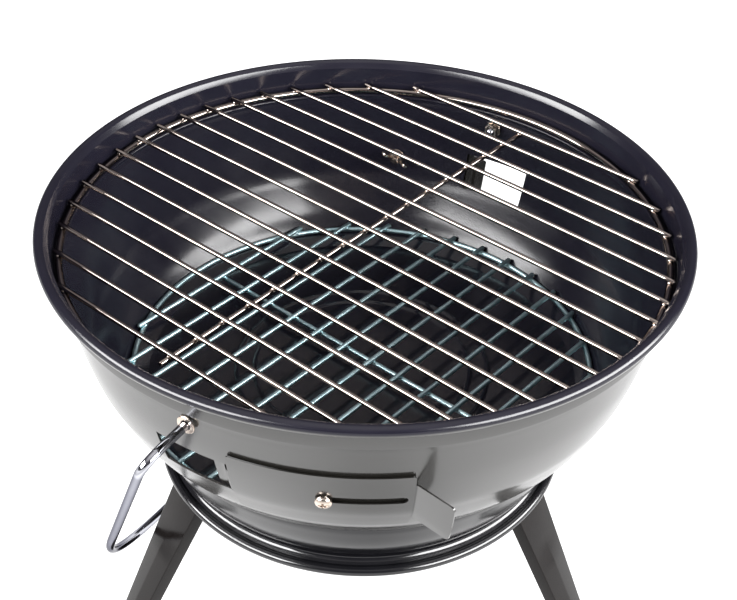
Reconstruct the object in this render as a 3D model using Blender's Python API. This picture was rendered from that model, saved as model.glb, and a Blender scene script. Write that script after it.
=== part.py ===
"""Kettle charcoal grill: bowl on a base pan and three legs, two grates, two air dampers, a carrying bail.

Metres, +Z up. The origin is on the ground under the bowl's axis, and -Y is the front.
Lengths are written in millimetres times MM, angles in degrees until they are used.
"""
import bpy
import bmesh
from math import atan2, cos, degrees, hypot, pi, radians, sin, sqrt, tan
from mathutils import Matrix, Vector

MM = 0.001

# Heights above the ground
GRATE_Z = 262 * MM            # centre plane of the cooking bars
RIM_BEAD_Z = 273.6 * MM
BAIL_AXIS_Z = 247 * MM
VENT_Z = 213.7 * MM
FLOOR_Z = 164 * MM            # upper face of the bowl's floor
CHARCOAL_Z = 171.7 * MM       # centre of the charcoal grate's ring

# Bowl
TURN_STEPS = 48
SHEET = 1.2 * MM
RIM_BEAD_RADIUS = 174.7 * MM
RIM_BEAD_THICK = 3.2 * MM
COLLAR_RADIUS = 171.4 * MM    # outside of the upright collar that holds the cooking grate
STUD_CIRCLE = 78 * MM
STUD_RADIUS = 2.5 * MM
STUD_END_Z = 152 * MM

# Fittings: each set is repeated about half a turn away
BAIL_TURNS = {"front": 0.0, "back": 180.0}
DAMPER_TURNS = {"front": 1.0, "back": 180.0}
DAMPER_SLID = {"front": 0.0, "back": -1.8}    # degrees each damper is pushed over its vent
BAIL_AZIMUTH = -119.5
SCREW_AZIMUTH = -96.9
SCREW_Z = 215.2 * MM
VENT_AZIMUTHS = (-129.4, -114.0)
VENT_HEIGHT = 22.6 * MM

# Damper plate, as laid flat: u runs to the right seen from outside, v runs up
PLATE_THICK = 1.0 * MM
PLATE_STAND_OFF = 0.8 * MM
PLATE_AZIMUTHS = (-113.8, -81.5)
PLATE_TOP_Z = 234 * MM
PLATE_BOTTOM_Z = 189 * MM
PLATE_CORNER = 1.6 * MM
TAB_TOP_Z = 227.4 * MM
TAB_BOTTOM_Z = 197.4 * MM
TAB_LENGTH = 24.2 * MM
TAB_BEND = 51.0               # degrees between the pull tab and the plate
TAB_BEND_RADIUS = 2.2 * MM
TONGUE_LENGTH = 9.5 * MM
TONGUE_HEIGHT = 21 * MM
JOGGLE_LENGTH = 3.6 * MM
RELIEF_RADIUS = 0.9 * MM
DAMPER_TRAVEL = 13.5          # degrees round the bowl's axis
SLOT_HALF_HEIGHT = 2.6 * MM

# Fasteners
SCREW_RADIUS = 2.0 * MM
SCREW_HEAD_RADIUS = 4.3 * MM
SCREW_HEAD_THICK = 2.9 * MM
SCREW_STAND_OFF = 0.8 * MM
WING_TURN = 64.0              # of the ears from the wall's slope
WASHER_THICK = 1.0 * MM
GAP = 0.3 * MM

# Bail: a round rod that turns in two holes through the bowl's wall
BAIL_RADIUS = 2.4 * MM
BAIL_END = 156.5 * MM
BAIL_STUB = 200 * MM
BAIL_CORNER = (149.5 * MM, 203 * MM)
BAIL_BEND = 9 * MM
BAIL_SHOULDER = 115 * MM
BAIL_REST_SWING = 26.8        # from straight down, leaning on two legs

# Grates
WIRE_SIDES = 6
COOKING_RING = 165.9 * MM
COOKING_PITCH = 18.2 * MM
COOKING_BARS = 17
COOKING_BAR_RADIUS = 1.4 * MM
COOKING_RING_RADIUS = 1.8 * MM
CHARCOAL_RING = 133.6 * MM
CHARCOAL_PITCH = 20.7 * MM
CHARCOAL_BARS = 12
CHARCOAL_BAR_RADIUS = 1.5 * MM
CHARCOAL_RING_RADIUS = 1.6 * MM
CHARCOAL_SHIFT = -2.2 * MM
GRATE_TURN = -39.8            # azimuth of the cooking bars
WELD = 0.4 * MM               # how far welded wires sink into each other

# Base pan, an upturned pan with a rolled rim
PAN_TOP_Z = 162.5 * MM
PAN_NECK_RADIUS = 113.3 * MM
PAN_NECK_Z = 126.5 * MM
PAN_BEAD_RADIUS = 118.9 * MM
PAN_BEAD_Z = 118.7 * MM
PAN_BEAD_THICK = 2.9 * MM

# Legs: pressed channels, splayed outwards
LEG_AZIMUTHS = {"left": -150.0, "right": -30.0, "rear": 90.0}
LEG_FOOT_RADIUS = 172 * MM
LEG_SLOPE = 0.5               # run inwards for each unit of rise
LEG_TOP_Z = 161 * MM
LEG_KNEE_Z = 125 * MM         # the taper starts here
LEG_WIDTH = 33 * MM
LEG_FOOT_WIDTH = 16.5 * MM
LEG_DEPTH = 9 * MM
LEG_SHEET = 1.5 * MM
LEG_RIDGE = 1.3 * MM
LEG_RIDGE_Z = (74 * MM, 86 * MM)
TAB_PLATE_WIDTH = 26 * MM
TAB_PLATE_INNER = 66 * MM


def clear_scene():
    for thing in list(bpy.data.objects):
        bpy.data.objects.remove(thing, do_unlink=True)


def make_material(name, colour, metallic, roughness):
    material = bpy.data.materials.new(name)
    material.use_nodes = True
    shader = material.node_tree.nodes["Principled BSDF"]
    shader.inputs["Base Color"].default_value = (*colour, 1.0)
    shader.inputs["Metallic"].default_value = metallic
    shader.inputs["Roughness"].default_value = roughness
    return material


def add_object(name, mesh, material=None):
    thing = bpy.data.objects.new(name, mesh)
    bpy.context.scene.collection.objects.link(thing)
    if material is not None:
        mesh.materials.append(material)
        mesh.shade_smooth()
        mesh.set_sharp_from_angle(angle=radians(35))
    return thing


def mesh_from(name, shape):
    bmesh.ops.recalc_face_normals(shape, faces=shape.faces)
    mesh = bpy.data.meshes.new(name)
    shape.to_mesh(mesh)
    shape.free()
    return mesh


def add_cutter(name, shape, matrix=None):
    cutter = add_object(name, mesh_from(name, shape))
    if matrix is not None:
        cutter.matrix_world = matrix
    cutter.hide_render = True
    cutter.display_type = "WIRE"
    return cutter


def combine(thing, other, operation):
    modifier = thing.modifiers.new(operation.lower() + "_" + other.name, "BOOLEAN")
    modifier.operation = operation
    modifier.solver = "EXACT"
    modifier.object = other


def turned(profile, steps=TURN_STEPS):
    """A closed outline of (radius, height) points turned about Z."""
    shape = bmesh.new()
    corners = [shape.verts.new((radius, 0, height)) for radius, height in profile]
    edges = [shape.edges.new((a, b)) for a, b in zip(corners, corners[1:] + corners[:1])]
    bmesh.ops.spin(shape, geom=corners + edges, cent=(0, 0, 0), axis=(0, 0, 1),
                   angle=2 * pi, steps=steps, use_merge=True)
    bmesh.ops.remove_doubles(shape, verts=shape.verts, dist=1e-6)
    on_axis = [edge for edge in shape.edges if not edge.link_faces]
    bmesh.ops.delete(shape, geom=on_axis, context="EDGES")
    return shape


def arc(centre, radius, start, end, count):
    """Points along an arc in the plane, angles in degrees."""
    angles = [radians(start + (end - start) * i / (count - 1)) for i in range(count)]
    return [(centre[0] + radius * cos(a), centre[1] + radius * sin(a)) for a in angles]


def rod(radius, length, sides=24, flare=None):
    """A cylinder along +Z from the origin, or a cone when flare gives the far radius."""
    shape = bmesh.new()
    bmesh.ops.create_cone(shape, cap_ends=True, segments=sides, radius1=radius,
                          radius2=radius if flare is None else flare, depth=length)
    bmesh.ops.translate(shape, verts=shape.verts, vec=(0, 0, length / 2))
    return shape


def ring_plate(outer, inner, thick, sides=16):
    """A flat washer lying on z = 0."""
    return turned([(outer, 0), (outer, thick), (inner, thick), (inner, 0)], sides)


def direction(azimuth, elevation=0.0):
    a, e = radians(azimuth), radians(elevation)
    return Vector((cos(a) * cos(e), sin(a) * cos(e), sin(e)))


def placed(position, axis):
    """A matrix that puts local +Z along axis, with its local Y kept level."""
    up = Vector(axis).normalized()
    side = Vector((0, 0, 1)).cross(up).normalized()
    other = side.cross(up)
    turn = Matrix((other, side, up)).transposed().to_4x4()
    return Matrix.Translation(position) @ turn


# Outside of the wall from the ledge down to the floor's fold, as height and radius
WALL = [(256.0 * MM, 166.2 * MM), (247.0 * MM, 164.9 * MM), (227.0 * MM, 161.8 * MM),
        (207.0 * MM, 156.8 * MM), (190.0 * MM, 149.7 * MM), (174.0 * MM, 140.0 * MM),
        (168.0 * MM, 134.3 * MM), (163.6 * MM, 125.4 * MM)]


def wall_radius(height):
    """Outside radius of the wall, read between the outline's points."""
    for (top, above), (bottom, below) in zip(WALL, WALL[1:]):
        if height >= bottom:
            share = (top - height) / (top - bottom)
            return above + (below - above) * share
    return WALL[-1][1]


def wall_slope(height):
    """Degrees by which the wall's outward normal points below the horizontal."""
    step = 4 * MM
    return degrees(atan2(wall_radius(height + step) - wall_radius(height - step), 2 * step))


def bowl_outline():
    """The bowl's section: up the inside, over the rolled rim, down the outside."""
    inner = []
    for (above_z, above_r), (here_z, here_r), (below_z, below_r) in zip(WALL, WALL[1:], WALL[2:]):
        run, fall = below_r - above_r, below_z - above_z
        length = hypot(run, fall)
        inner.append((here_r + fall / length * SHEET, here_z - run / length * SHEET))
    floor = [(0, FLOOR_Z), (124.6 * MM, FLOOR_Z)]
    ledge = [(164.2 * MM, 255.4 * MM), (165.0 * MM, 256.8 * MM), (169.2 * MM, 257.0 * MM),
             (COLLAR_RADIUS - SHEET, 259.6 * MM)]
    bead = arc((RIM_BEAD_RADIUS, RIM_BEAD_Z), RIM_BEAD_THICK, 165, -150, 7)
    collar = [(COLLAR_RADIUS - SHEET, 271 * MM)] + bead + [(COLLAR_RADIUS, 270.6 * MM)]
    step = [(COLLAR_RADIUS, 258.9 * MM), (170.2 * MM, 256.4 * MM)]
    outside = [(radius, height) for height, radius in WALL]
    return floor + inner[::-1] + ledge + collar + step + outside + [(0, FLOOR_Z - SHEET)]


def add_bowl(material):
    bowl = add_object("bowl", mesh_from("bowl", turned(bowl_outline())), material)
    for place, turn in DAMPER_TURNS.items():
        combine(bowl, vent_cutter(place, turn), "DIFFERENCE")
        for name, azimuth, height, radius in (
                ("bail_hole_", BAIL_AZIMUTH + BAIL_TURNS[place], BAIL_AXIS_Z, BAIL_RADIUS + 0.4 * MM),
                ("screw_hole_", SCREW_AZIMUTH + turn, SCREW_Z, SCREW_RADIUS + 0.4 * MM)):
            tilt = 0 if name == "bail_hole_" else -wall_slope(height)
            along = direction(azimuth, tilt)
            start = wall_point(azimuth, height) - along * 8 * MM
            cutter = add_cutter(name + place, rod(radius, 16 * MM, 20), placed(start, along))
            combine(bowl, cutter, "DIFFERENCE")
    for side, azimuth in LEG_AZIMUTHS.items():
        foot = direction(azimuth) * STUD_CIRCLE + Vector((0, 0, STUD_END_Z))
        stud = rod(STUD_RADIUS, FLOOR_Z - 0.5 * MM - STUD_END_Z, 16)
        combine(bowl, add_cutter("stud_" + side, stud, Matrix.Translation(foot)), "UNION")
    return bowl


def wall_point(azimuth, height, offset=0.0):
    return direction(azimuth) * (wall_radius(height) + offset) + Vector((0, 0, height))


def vent_cutter(place, turn):
    """A wedge through the wall between the vent's two azimuths."""
    shape = bmesh.new()
    low, high = VENT_Z - VENT_HEIGHT / 2, VENT_Z + VENT_HEIGHT / 2
    corners = [direction(azimuth + turn) * radius for radius in (140 * MM, 180 * MM)
               for azimuth in VENT_AZIMUTHS]
    ring = [corners[0], corners[1], corners[3], corners[2]]
    face = shape.faces.new([shape.verts.new((p.x, p.y, low)) for p in ring])
    made = bmesh.ops.extrude_face_region(shape, geom=[face], use_keep_orig=True)
    lifted = [item for item in made["geom"] if isinstance(item, bmesh.types.BMVert)]
    bmesh.ops.translate(shape, verts=lifted, vec=(0, 0, high - low))
    return add_cutter("vent_" + place, shape)


def damper_outline():
    """The flat plate's edge, anticlockwise: tongue on the left, pull tab on the right."""
    middle = wall_radius(VENT_Z)
    left = radians(PLATE_AZIMUTHS[0] - SCREW_AZIMUTH) * middle
    right = radians(PLATE_AZIMUTHS[1] - SCREW_AZIMUTH) * middle
    tongue_top, tongue_bottom = VENT_Z + TONGUE_HEIGHT / 2, VENT_Z - TONGUE_HEIGHT / 2
    bottom, top, corner = PLATE_BOTTOM_Z, PLATE_TOP_Z, PLATE_CORNER
    tip, round_tip = right + TAB_LENGTH, 2.5 * MM
    points = arc((left + corner, bottom + corner), corner, 180, 270, 5)
    points += arc((right - corner, bottom + corner), corner, 270, 360, 5)
    points += [(right, TAB_BOTTOM_Z)]
    points += arc((tip - round_tip, TAB_BOTTOM_Z + round_tip), round_tip, 270, 360, 4)
    points += arc((tip - round_tip, TAB_TOP_Z - round_tip), round_tip, 0, 90, 4)
    points += [(right, TAB_TOP_Z)]
    points += arc((right - corner, top - corner), corner, 0, 90, 5)
    points += arc((left + corner, top - corner), corner, 90, 180, 5)
    points += arc((left, tongue_top + RELIEF_RADIUS), RELIEF_RADIUS, 90, -90, 7)
    points += [(left - TONGUE_LENGTH, tongue_top - 1 * MM), (left - TONGUE_LENGTH, tongue_bottom + 1 * MM)]
    points += arc((left, tongue_bottom - RELIEF_RADIUS), RELIEF_RADIUS, 90, -90, 7)
    slot_end = radians(DAMPER_TRAVEL) * middle
    slot = arc((slot_end, SCREW_Z), SLOT_HALF_HEIGHT, 90, -90, 7)
    slot += arc((0, SCREW_Z), SLOT_HALF_HEIGHT, 270, 90, 7)
    return points, slot, left, right


def bent_to_wall(u, height, lift, left, right):
    """Where a point of the flat plate lies once it is bent round the bowl."""
    middle = wall_radius(VENT_Z)
    inwards = SHEET + PLATE_STAND_OFF + PLATE_THICK + 0.6 * MM
    share = min(max((left - u - 0.4 * MM) / JOGGLE_LENGTH, 0.0), 1.0)
    sink = inwards * share * share * (3 - 2 * share)
    reach = wall_radius(height) + PLATE_STAND_OFF + lift - sink
    beyond = u - right
    if beyond <= 0:
        return direction(SCREW_AZIMUTH + degrees(u / middle)) * reach + Vector((0, 0, height))
    end = SCREW_AZIMUTH + degrees(right / middle)
    outward, sideways = direction(end), direction(end + 90)
    bend = min(beyond / TAB_BEND_RADIUS, radians(TAB_BEND))
    straight = max(beyond - radians(TAB_BEND) * TAB_BEND_RADIUS, 0.0)
    across = (TAB_BEND_RADIUS - lift) * sin(bend) + straight * cos(bend)
    out = TAB_BEND_RADIUS - (TAB_BEND_RADIUS - lift) * cos(bend) + straight * sin(bend)
    base = wall_radius(height) + PLATE_STAND_OFF
    return outward * (base + out) + sideways * across + Vector((0, 0, height))


def damper_mesh():
    outline, slot, left, right = damper_outline()
    shape = bmesh.new()
    for loop in (outline, slot):
        corners = [shape.verts.new((u, v, 0)) for u, v in loop]
        for a, b in zip(corners, corners[1:] + corners[:1]):
            shape.edges.new((a, b))
    bmesh.ops.triangle_fill(shape, use_beauty=True, use_dissolve=False, edges=shape.edges)
    folds = [left - 0.4 * MM - JOGGLE_LENGTH * i / 3 for i in range(4)]
    folds += [left + (right - left) * i / 9 for i in range(1, 9)]
    folds += [right + radians(TAB_BEND) * TAB_BEND_RADIUS * i / 3 for i in range(4)]
    for u in folds:
        bmesh.ops.bisect_plane(shape, geom=shape.verts[:] + shape.edges[:] + shape.faces[:],
                               dist=1e-7, plane_co=(u, 0, 0), plane_no=(1, 0, 0))
    for v in (height for height, radius in WALL if PLATE_BOTTOM_Z < height < PLATE_TOP_Z):
        bmesh.ops.bisect_plane(shape, geom=shape.verts[:] + shape.edges[:] + shape.faces[:],
                               dist=1e-7, plane_co=(0, v, 0), plane_no=(0, 1, 0))
    made = bmesh.ops.extrude_face_region(shape, geom=shape.faces[:], use_keep_orig=True)
    lifted = [item for item in made["geom"] if isinstance(item, bmesh.types.BMVert)]
    bmesh.ops.translate(shape, verts=lifted, vec=(0, 0, PLATE_THICK))
    for corner in shape.verts:
        corner.co = bent_to_wall(corner.co.x, corner.co.y, corner.co.z, left, right)
    return mesh_from("damper", shape)


def add_dampers(material):
    mesh = damper_mesh()
    for place, turn in DAMPER_TURNS.items():
        damper = add_object("damper_" + place, mesh.copy(), material)
        damper.rotation_euler.z = radians(turn + DAMPER_SLID[place])


def screw_frame(place_turn, offset):
    """The damper screw's axis, square to the wall, starting at an offset outside the wall."""
    along = direction(SCREW_AZIMUTH + place_turn, -wall_slope(SCREW_Z))
    return wall_point(SCREW_AZIMUTH + place_turn, SCREW_Z) + along * offset, along


def add_damper_fasteners(steel):
    head_under = PLATE_STAND_OFF + PLATE_THICK + SCREW_STAND_OFF
    tip = -(SHEET + WASHER_THICK + 10.5 * MM)
    nut_face = -(SHEET + WASHER_THICK + 2 * GAP + 0.5 * MM)
    for place, turn in DAMPER_TURNS.items():
        start, along = screw_frame(turn, tip)
        dome = [(head_r * SCREW_HEAD_RADIUS, head_under - tip + head_z * SCREW_HEAD_THICK)
                for head_r, head_z in ((1.0, 0), (1.0, 0.35), (0.86, 0.75), (0.55, 1.0))]
        profile = [(0, 0), (SCREW_RADIUS - 0.4 * MM, 0), (SCREW_RADIUS, 0.6 * MM),
                   (SCREW_RADIUS, head_under - tip)] + dome + [(0, dome[-1][1])]
        screw = add_object("damper_screw_" + place, mesh_from("screw", turned(profile, 20)), steel)
        screw.matrix_world = placed(start, along)
        combine(screw, recess_cutter("recess_" + place, start, along, dome[-1][1]), "DIFFERENCE")
        start, along = screw_frame(turn, -SHEET - GAP - 0.5 * MM)
        washer = ring_plate(5 * MM, SCREW_RADIUS + GAP, WASHER_THICK)
        plate = add_object("damper_washer_" + place, mesh_from("washer", washer), steel)
        plate.matrix_world = placed(start, -along)
        start, along = screw_frame(turn, nut_face - GAP)
        nut = add_object("wing_nut_" + place, wing_nut_mesh(), steel)
        nut.matrix_world = placed(start, -along) @ Matrix.Rotation(radians(WING_TURN), 4, "Z")
        for number, side in enumerate((-1, 1)):
            wing = wing_cutter("wing_%s_%d" % (place, number), side, nut.matrix_world)
            combine(nut, wing, "UNION")


def recess_cutter(name, start, along, depth):
    """The cross recess in a screw's head."""
    shape = bmesh.new()
    for turn in (0, pi / 2):
        slab = bmesh.ops.create_cube(shape, size=1)["verts"]
        bmesh.ops.scale(shape, verts=slab, vec=(4.4 * MM, 1.0 * MM, 2.4 * MM))
        bmesh.ops.rotate(shape, verts=slab, cent=(0, 0, 0), matrix=Matrix.Rotation(turn, 3, "Z"))
        bmesh.ops.translate(shape, verts=slab, vec=(0, 0, depth))
    cutter = add_cutter(name, shape, placed(start, along))
    merge = cutter.modifiers.new("merge", "BOOLEAN")
    merge.operation = "UNION"
    merge.solver = "EXACT"
    merge.use_self = True
    merge.object = add_cutter(name + "_core", rod(0.6 * MM, depth), placed(start, along))
    return cutter


def wing_nut_mesh():
    """A coned hub with a clear bore, standing on z = 0."""
    bore = SCREW_RADIUS + GAP
    profile = [(4.2 * MM, 0), (4.2 * MM, 1.2 * MM), (3.3 * MM, 5.2 * MM), (bore, 5.2 * MM), (bore, 0)]
    return mesh_from("wing_nut", turned(profile, 24))


def wing_cutter(name, side, matrix):
    """One ear of a wing nut: a rounded plate that leans outwards."""
    shape = bmesh.new()
    outline = [(2.9 * MM, 0.5 * MM), (4.4 * MM, 0.8 * MM)]
    outline += arc((7.2 * MM, 6.4 * MM), 2.6 * MM, -60, 170, 9)
    outline += [(3.0 * MM, 4.6 * MM)]
    corners = [shape.verts.new((side * x, -0.8 * MM, z)) for x, z in outline]
    face = shape.faces.new(corners)
    made = bmesh.ops.extrude_face_region(shape, geom=[face], use_keep_orig=True)
    moved = [item for item in made["geom"] if isinstance(item, bmesh.types.BMVert)]
    bmesh.ops.translate(shape, verts=moved, vec=(0, 1.6 * MM, 0))
    return add_cutter(name, shape, matrix)


def rounded_path(points, radii):
    """Straight runs through the points, with each inner corner replaced by an arc."""
    path = [points[0]]
    for before, here, after, radius in zip(points, points[1:], points[2:], radii):
        here_v = Vector(here)
        back = (Vector(before) - here_v).normalized()
        ahead = (Vector(after) - here_v).normalized()
        half = back.angle(ahead) / 2
        centre = here_v + (back + ahead).normalized() * (radius / sin(half))
        start = here_v + back * (radius / tan(half)) - centre
        end = here_v + ahead * (radius / tan(half)) - centre
        sweep = start.angle(end)
        count = max(4, int(degrees(sweep) / 9))
        for i in range(count + 1):
            mix = (sin(sweep * (1 - i / count)) * start + sin(sweep * i / count) * end) / sin(sweep)
            path.append(tuple(centre + mix))
    path.append(points[-1])
    return path


def bail_frame():
    """Along the bail's pivot line, and from the line towards the hanging rod."""
    along = direction(BAIL_AZIMUTH)
    swing = radians(BAIL_REST_SWING)
    hang = direction(BAIL_AZIMUTH - 90) * sin(swing) + Vector((0, 0, -cos(swing)))
    return along, hang


def add_bail(chrome, steel):
    along, hang = bail_frame()
    x, drop = BAIL_CORNER
    flat = [(BAIL_END, 0), (BAIL_STUB, 0), (x, drop), (-x, drop), (-BAIL_STUB, 0), (-BAIL_END, 0)]
    path = rounded_path(flat, (BAIL_BEND, BAIL_SHOULDER, BAIL_SHOULDER, BAIL_BEND))
    curve = bpy.data.curves.new("bail_handle", "CURVE")
    curve.dimensions = "3D"
    curve.bevel_depth = BAIL_RADIUS
    curve.bevel_resolution = 2
    curve.use_fill_caps = True
    spline = curve.splines.new("POLY")
    spline.points.add(len(path) - 1)
    for point, (reach, fall) in zip(spline.points, path):
        point.co = (*(along * reach + hang * fall), 1)
    curve.materials.append(chrome)
    bail = bpy.data.objects.new("bail_handle", curve)
    bpy.context.scene.collection.objects.link(bail)
    bail.location.z = BAIL_AXIS_Z
    for place, turn in BAIL_TURNS.items():
        outward = direction(BAIL_AZIMUTH + turn)
        wall = wall_point(BAIL_AZIMUTH + turn, BAIL_AXIS_Z)
        bore = BAIL_RADIUS + GAP
        parts = (("bail_washer_outer_", ring_plate(5 * MM, bore, WASHER_THICK), 1.2 * MM, 1),
                 ("bail_washer_inner_", ring_plate(5 * MM, bore, WASHER_THICK), -SHEET - 1.0 * MM, -1),
                 ("bail_nut_", hex_ring(4.6 * MM, bore, 3.6 * MM), -SHEET - 2.5 * MM, -1))
        for name, shape, offset, facing in parts:
            piece = add_object(name + place, mesh_from(name, shape), steel)
            piece.matrix_world = placed(wall + outward * offset, outward * facing)


def hex_ring(corner_radius, bore, thick):
    """A hexagonal nut lying on z = 0."""
    shape = bmesh.new()
    levels = []
    for height in (0, thick):
        outer = [shape.verts.new((corner_radius * cos(pi / 3 * i), corner_radius * sin(pi / 3 * i), height))
                 for i in range(6)]
        inner = [shape.verts.new((bore * cos(pi / 9 * i), bore * sin(pi / 9 * i), height))
                 for i in range(18)]
        levels.append((outer, inner))
    for outer, inner in levels:
        for i in range(6):
            near = [inner[3 * i + k] for k in range(4) if 3 * i + k < 18]
            near += [inner[0]] if 3 * i + 3 >= 18 else []
            shape.faces.new([outer[i], outer[(i + 1) % 6]] + near[::-1])
    for low, high in zip(*levels):
        count = len(low)
        for i in range(count):
            shape.faces.new((low[i], low[(i + 1) % count], high[(i + 1) % count], high[i]))
    return shape


def add_wire(shape, start, end, radius):
    """A straight round wire between two points, joined into the same mesh."""
    run = Vector(end) - Vector(start)
    middle = Matrix.Translation((Vector(start) + Vector(end)) / 2)
    aimed = run.to_track_quat("Z", "X").to_matrix().to_4x4()
    turn = Matrix.Rotation(pi / WIRE_SIDES, 4, "Z")
    bmesh.ops.create_cone(shape, cap_ends=True, segments=WIRE_SIDES, radius1=radius, radius2=radius,
                          depth=run.length, matrix=middle @ aimed @ turn)


def add_hoop(shape, radius, wire, height, steps):
    """A closed round hoop of wire."""
    section = [shape.verts.new((radius + wire * cos(2 * pi * (i + 0.5) / WIRE_SIDES), 0,
                                height + wire * sin(2 * pi * (i + 0.5) / WIRE_SIDES)))
               for i in range(WIRE_SIDES)]
    edges = [shape.edges.new((a, b)) for a, b in zip(section, section[1:] + section[:1])]
    bmesh.ops.spin(shape, geom=section + edges, cent=(0, 0, 0), axis=(0, 0, 1),
                   angle=2 * pi, steps=steps, use_merge=True)


def add_grate(name, material, ring, hoop_wire, bar_wire, bars, pitch, shift, hoop_z, turn, cross_ends):
    """A hoop with straight bars welded on top and one bar welded across underneath."""
    bar_z = hoop_z + hoop_wire + bar_wire - WELD
    frame = bmesh.new()
    add_hoop(frame, ring, hoop_wire, hoop_z, TURN_STEPS)
    cross_z = bar_z - 2 * bar_wire + WELD
    add_wire(frame, (0, cross_ends[0], cross_z), (0, cross_ends[1], cross_z), bar_wire)
    grate = add_object(name, mesh_from(name, frame), material)
    lengths = bmesh.new()
    for i in range(bars):
        across = shift + (i - (bars - 1) / 2) * pitch
        reach = sqrt((ring + 2.6 * MM) ** 2 - across ** 2)
        add_wire(lengths, (-reach, across, bar_z), (reach, across, bar_z), bar_wire)
    combine(grate, add_cutter(name + "_bars", lengths, Matrix.Rotation(radians(turn), 4, "Z")), "UNION")
    grate.rotation_euler.z = radians(turn)


def add_grates(chrome, zinc):
    cooking_hoop_z = GRATE_Z - COOKING_BAR_RADIUS - COOKING_RING_RADIUS + WELD
    outermost = COOKING_PITCH * (COOKING_BARS - 1) / 2
    add_grate("cooking_grate", chrome, COOKING_RING, COOKING_RING_RADIUS, COOKING_BAR_RADIUS,
              COOKING_BARS, COOKING_PITCH, 0, cooking_hoop_z, GRATE_TURN,
              (-outermost - 6 * MM, outermost + 2 * MM))
    edge = CHARCOAL_PITCH * (CHARCOAL_BARS - 1) / 2
    add_grate("charcoal_grate", zinc, CHARCOAL_RING, CHARCOAL_RING_RADIUS, CHARCOAL_BAR_RADIUS,
              CHARCOAL_BARS, CHARCOAL_PITCH, -CHARCOAL_SHIFT, CHARCOAL_Z, GRATE_TURN + 90,
              (-edge - CHARCOAL_SHIFT - 2 * MM, edge - CHARCOAL_SHIFT + 2 * MM))


def add_base_pan(material):
    """An upturned pan: flat top against the bowl, tapering wall, gutter and rolled rim."""
    low = PAN_TOP_Z - SHEET
    bead = arc((PAN_BEAD_RADIUS, PAN_BEAD_Z), PAN_BEAD_THICK, 140, -170, 7)
    profile = [(0, PAN_TOP_Z), (122.5 * MM, PAN_TOP_Z), (126 * MM, 161 * MM), (127.2 * MM, 157.5 * MM),
               (PAN_NECK_RADIUS, PAN_NECK_Z), (113.8 * MM, 124 * MM), (115.2 * MM, 122 * MM)]
    profile += bead + [(115.2 * MM, 120 * MM), (114 * MM, 121.2 * MM), (112.7 * MM, 123.7 * MM),
                       (PAN_NECK_RADIUS - SHEET, PAN_NECK_Z), (126 * MM, 157.2 * MM),
                       (125 * MM, 160 * MM), (122.2 * MM, low), (0, low)]
    pan = add_object("base_pan", mesh_from("base_pan", turned(profile)), material)
    for side, azimuth in LEG_AZIMUTHS.items():
        foot = direction(azimuth) * STUD_CIRCLE + Vector((0, 0, low - 4 * MM))
        hole = add_cutter("pan_hole_" + side, rod(STUD_RADIUS + 0.4 * MM, 10 * MM, 16),
                          Matrix.Translation(foot))
        combine(pan, hole, "DIFFERENCE")


def leg_section(height):
    """The channel's ten corners at a height, in radius and width."""
    radius = LEG_FOOT_RADIUS - LEG_SLOPE * height
    share = min(height / LEG_KNEE_Z, 1.0)
    half = (LEG_FOOT_WIDTH + (LEG_WIDTH - LEG_FOOT_WIDTH) * share) / 2
    start, full = LEG_RIDGE_Z[1], LEG_RIDGE_Z[0]
    ridge = LEG_RIDGE * min(max((start - height) / (start - full), 0.0), 1.0)
    wall = LEG_SHEET * sqrt(1 + LEG_SLOPE ** 2)
    back = radius - LEG_DEPTH
    return [(radius, -half), (radius + ridge, 0), (radius, half), (back, half),
            (back, half - LEG_SHEET), (radius - wall, half - LEG_SHEET), (radius + ridge - wall, 0),
            (radius - wall, LEG_SHEET - half), (back, LEG_SHEET - half), (back, -half)]


def add_legs(material, steel):
    for side, azimuth in LEG_AZIMUTHS.items():
        turn = Matrix.Rotation(radians(azimuth), 4, "Z")
        shape = bmesh.new()
        levels = []
        for height in (0, LEG_RIDGE_Z[0], LEG_RIDGE_Z[1], LEG_KNEE_Z, LEG_TOP_Z):
            levels.append([shape.verts.new((x, y, height)) for x, y in leg_section(height)])
        for low, high in zip(levels, levels[1:]):
            for i, corner in enumerate(low):
                j = (i + 1) % len(low)
                shape.faces.new((corner, low[j], high[j], high[i]))
        shape.faces.new(levels[0])
        shape.faces.new(levels[-1])
        leg = add_object("leg_" + side, mesh_from("leg", shape), material)
        leg.matrix_world = turn
        tab = bmesh.new()
        slab = bmesh.ops.create_cube(tab, size=1)["verts"]
        outer = LEG_FOOT_RADIUS - LEG_SLOPE * LEG_TOP_Z - 0.5 * MM
        bmesh.ops.scale(tab, verts=slab, vec=(outer - TAB_PLATE_INNER, TAB_PLATE_WIDTH, LEG_SHEET))
        bmesh.ops.translate(tab, verts=slab, vec=((outer + TAB_PLATE_INNER) / 2, 0,
                                                  LEG_TOP_Z - LEG_SHEET / 2 - 0.2 * MM))
        combine(leg, add_cutter("leg_tab_" + side, tab, turn), "UNION")
        stud = direction(azimuth) * STUD_CIRCLE
        hole = rod(STUD_RADIUS + 0.4 * MM, 12 * MM, 16)
        at_tab = Matrix.Translation(stud + Vector((0, 0, LEG_TOP_Z - 6 * MM)))
        combine(leg, add_cutter("leg_hole_" + side, hole, at_tab), "DIFFERENCE")
        under = LEG_TOP_Z - LEG_SHEET - 0.2 * MM - GAP
        washer = ring_plate(6 * MM, STUD_RADIUS + GAP, WASHER_THICK)
        plate = add_object("leg_washer_" + side, mesh_from("leg_washer", washer), steel)
        plate.location = stud + Vector((0, 0, under - WASHER_THICK))
        nut_mesh = mesh_from("leg_nut", hex_ring(4.8 * MM, STUD_RADIUS + GAP, 4 * MM))
        nut = add_object("leg_nut_" + side, nut_mesh, steel)
        nut.location = stud + Vector((0, 0, under - WASHER_THICK - GAP - 4 * MM))


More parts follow.
